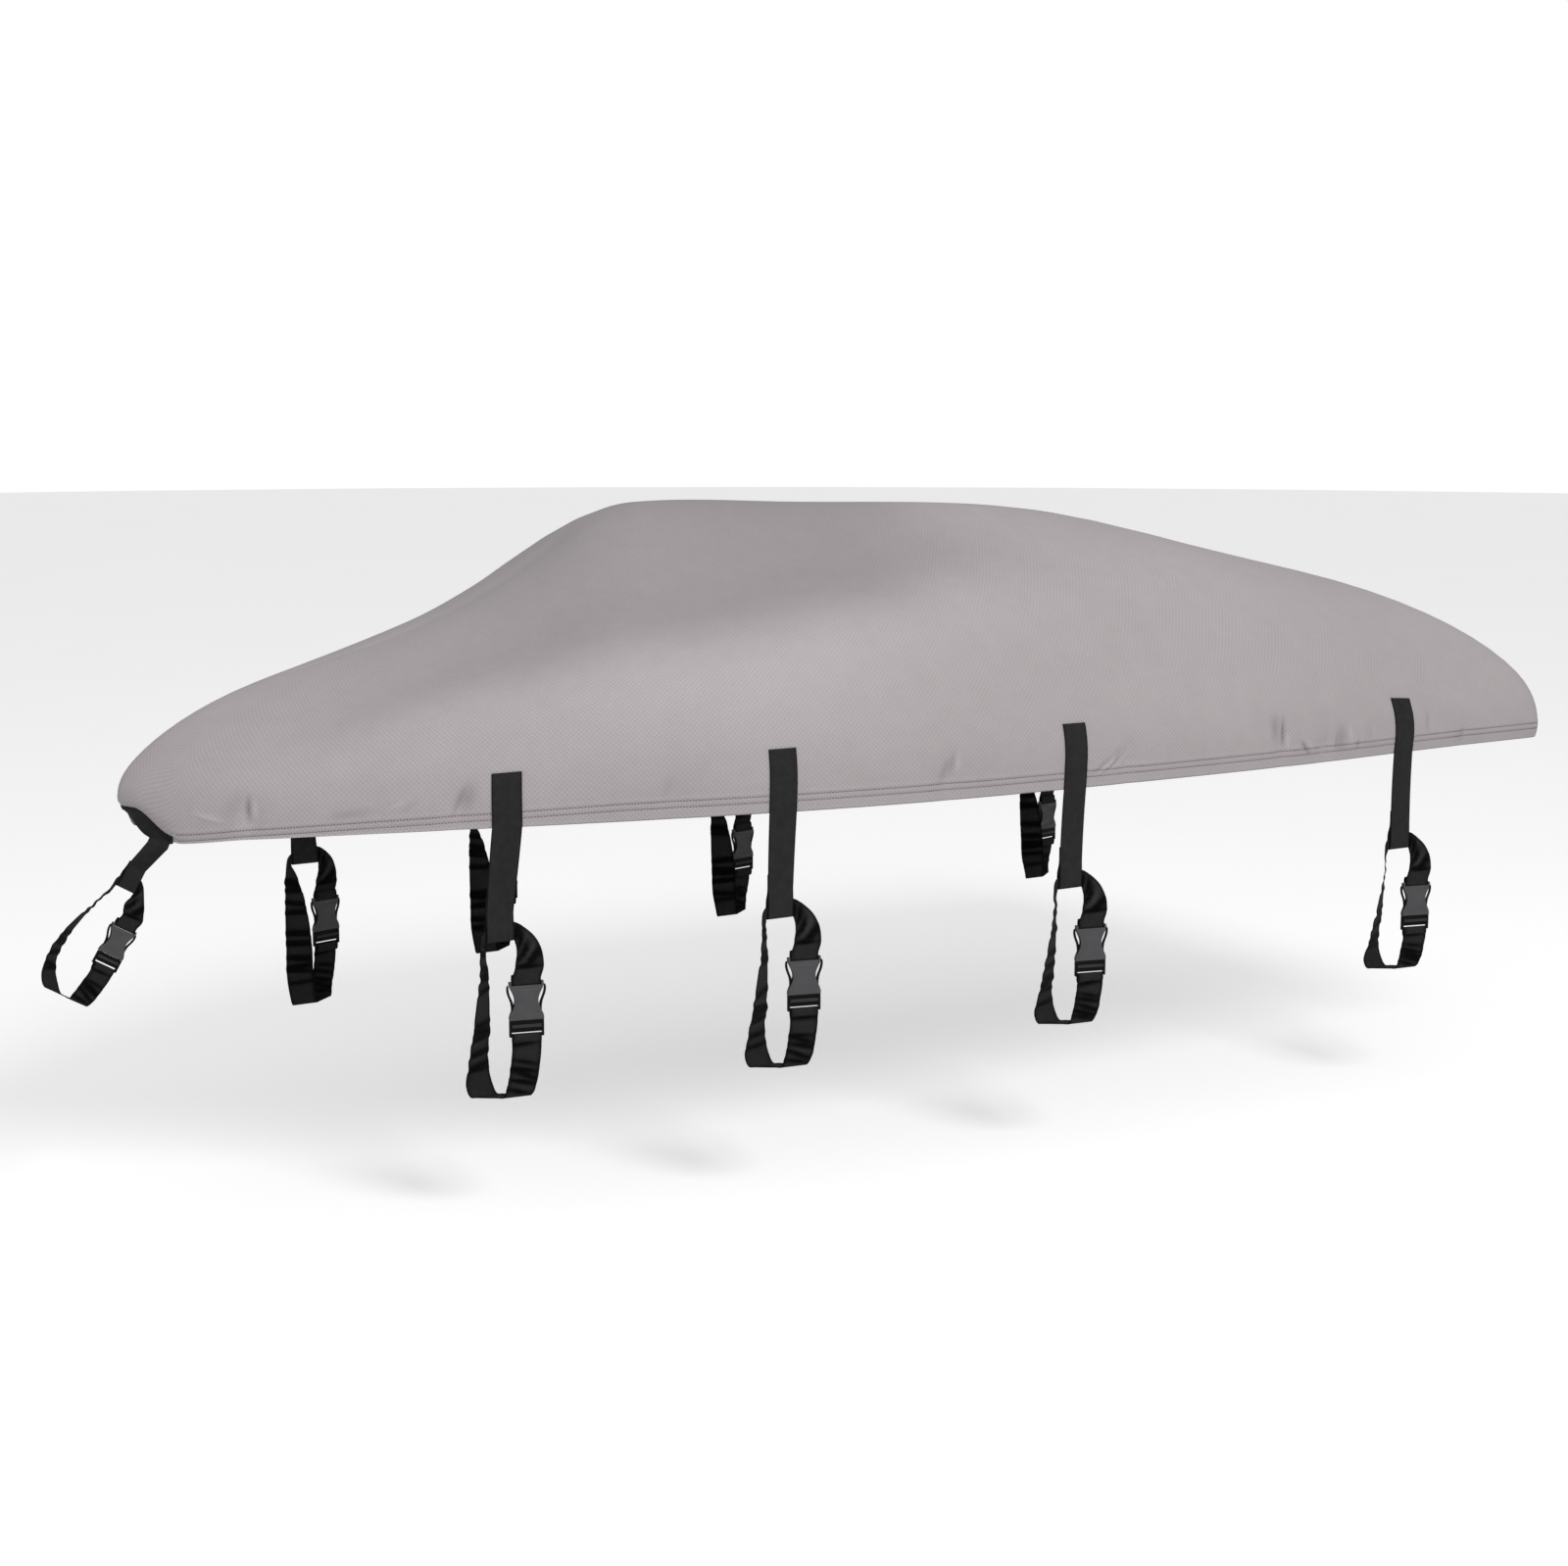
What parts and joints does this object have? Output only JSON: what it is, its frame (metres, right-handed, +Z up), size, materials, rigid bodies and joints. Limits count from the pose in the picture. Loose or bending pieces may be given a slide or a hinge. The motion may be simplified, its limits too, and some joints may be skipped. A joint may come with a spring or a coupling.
{
  "type": "boat cover",
  "caption": "Fitted cloth cover for a small trailered boat: a hollow crowned shell with a hemmed skirt, sewn webbing tie-downs, strap loops and side-release buckles.",
  "frame": {"origin": "the mount boat_under_top: on the inner side of the cloth, on the centre line, under the top of the cover", "axes": "+X aft along the boat, with the bow towards -X; +Y to starboard; +Z up"},
  "size_m": [4.4994, 1.896, 1.4778],
  "materials": {
    "coated_polyester_cloth": "matt woven polyester with a coated back, taupe grey",
    "black_webbing": "ribbed polypropylene webbing, black",
    "grey_moulded_plastic": "moulded acetal, dark grey, fine matt grain",
    "black_moulded_plastic": "moulded acetal, black, satin"
  },
  "bodies": {
    "root": {"cover": "coated_polyester_cloth", "strap_port_1": "black_webbing", "loop_port_1": "black_webbing", "buckle_port_1": "grey_moulded_plastic", "tongue_port_1": "black_moulded_plastic", "strap_port_2": "black_webbing", "loop_port_2": "black_webbing", "buckle_port_2": "grey_moulded_plastic", "tongue_port_2": "black_moulded_plastic", "strap_port_3": "black_webbing", "loop_port_3": "black_webbing", "buckle_port_3": "grey_moulded_plastic", "tongue_port_3": "black_moulded_plastic", "strap_port_4": "black_webbing", "loop_port_4": "black_webbing", "buckle_port_4": "grey_moulded_plastic", "tongue_port_4": "black_moulded_plastic", "strap_starboard_1": "black_webbing", "loop_starboard_1": "black_webbing", "buckle_starboard_1": "grey_moulded_plastic", "tongue_starboard_1": "black_moulded_plastic", "strap_starboard_2": "black_webbing", "loop_starboard_2": "black_webbing", "buckle_starboard_2": "grey_moulded_plastic", "tongue_starboard_2": "black_moulded_plastic", "strap_starboard_3": "black_webbing", "loop_starboard_3": "black_webbing", "buckle_starboard_3": "grey_moulded_plastic", "tongue_starboard_3": "black_moulded_plastic", "strap_starboard_4": "black_webbing", "loop_starboard_4": "black_webbing", "buckle_starboard_4": "grey_moulded_plastic", "tongue_starboard_4": "black_moulded_plastic", "strap_bow": "black_webbing", "loop_bow": "black_webbing", "buckle_bow": "grey_moulded_plastic", "tongue_bow": "black_moulded_plastic"}
  },
  "joints": []
}
